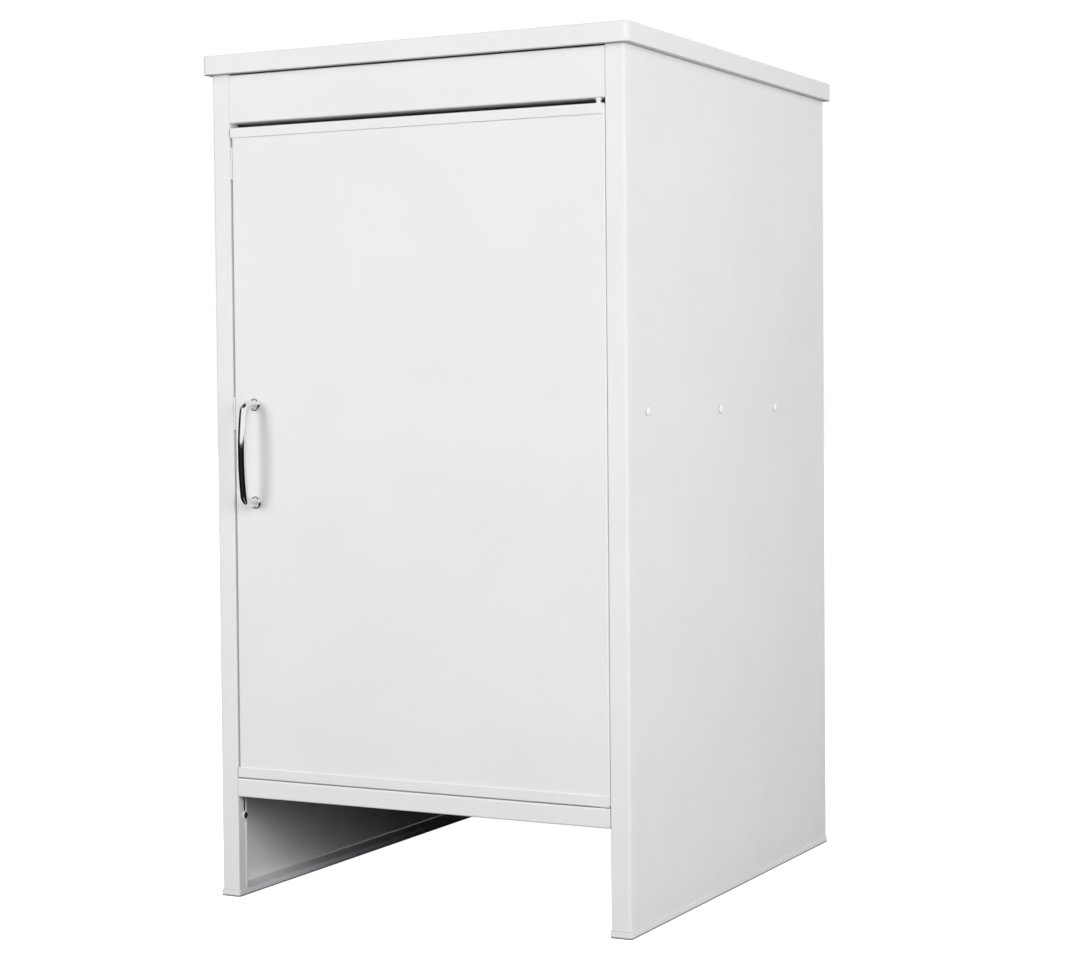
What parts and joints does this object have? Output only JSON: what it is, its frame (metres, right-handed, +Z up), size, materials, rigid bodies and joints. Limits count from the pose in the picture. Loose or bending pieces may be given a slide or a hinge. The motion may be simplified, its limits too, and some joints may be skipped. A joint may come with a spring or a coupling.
{
  "type": "utility base cabinet",
  "caption": "Narrow white sheet-steel base cabinet on side-panel legs, with a tray worktop, a fixed fascia and a right-hinged door with a chrome bow pull.",
  "frame": {"origin": "on the floor, under the middle of the overall box (handle included)", "axes": "+Z up, -Y is the front with the door, +X is to the right seen from the front"},
  "size_m": [0.464, 0.5332, 0.83],
  "materials": {
    "white_coat": "white satin powder coat with a fine orange peel",
    "foot_plastic": "off-white matte moulded strip",
    "catch_plastic": "white matte moulding",
    "nylon": "natural white nylon",
    "zinc_steel": "bright zinc plate",
    "chrome": "polished chrome",
    "magnet": "dark ferrite between steel poles"
  },
  "bodies": {
    "carcass": {"worktop": "white_coat", "worktop_stiffener_front": "white_coat", "worktop_stiffener_rear": "white_coat", "side_panel_left": "white_coat", "side_panel_right": "white_coat", "fascia_panel": "white_coat", "fascia_bracket_left": "white_coat", "fascia_bracket_right": "white_coat", "floor_panel": "white_coat", "back_panel": "white_coat", "rear_top_rail": "white_coat", "shelf": "white_coat", "shelf_screw_left_front": "white_coat", "shelf_screw_left_middle": "white_coat", "shelf_screw_left_rear": "white_coat", "shelf_screw_right_front": "white_coat", "shelf_screw_right_middle": "white_coat", "shelf_screw_right_rear": "white_coat", "foot_strip_left": "foot_plastic", "foot_strip_right": "foot_plastic", "catch_housing": "catch_plastic", "fascia_screw_left_lower": "zinc_steel", "fascia_screw_left_upper": "zinc_steel", "fascia_screw_right_lower": "zinc_steel", "fascia_screw_right_upper": "zinc_steel", "base_bracket_left": "zinc_steel", "base_bracket_right": "zinc_steel", "keyhole_screw_left": "zinc_steel", "keyhole_screw_right": "zinc_steel", "floor_screw_left": "zinc_steel", "floor_screw_right": "zinc_steel", "back_rivet_left_low": "zinc_steel", "back_rivet_left_middle": "zinc_steel", "back_rivet_left_high": "zinc_steel", "back_rivet_right_low": "zinc_steel", "back_rivet_right_middle": "zinc_steel", "back_rivet_right_high": "zinc_steel", "worktop_screw_left_front": "zinc_steel", "worktop_screw_left_rear": "zinc_steel", "worktop_screw_right_front": "zinc_steel", "worktop_screw_right_rear": "zinc_steel", "catch_screw_left": "zinc_steel", "catch_screw_right": "zinc_steel", "catch_magnet": "magnet", "hinge_bush_top": "nylon", "hinge_bush_bottom": "nylon", "gap_pad_lower": "nylon", "gap_pad_upper": "nylon"},
    "door": {"door_skin": "white_coat", "door_top_channel": "white_coat", "door_bottom_channel": "white_coat", "door_stiffener": "white_coat", "strike_plate": "zinc_steel", "handle": "chrome", "handle_screw_lower": "zinc_steel", "handle_screw_upper": "zinc_steel", "hinge_pin_top": "zinc_steel", "hinge_pin_bottom": "zinc_steel"}
  },
  "joints": [
    {"name": "door_hinge", "type": "hinge", "parent": "carcass", "child": "door", "pos_m": [0.197, -0.2366, 0.4399], "axis": [0, 0, 1], "range_deg": [0, 110]}
  ]
}
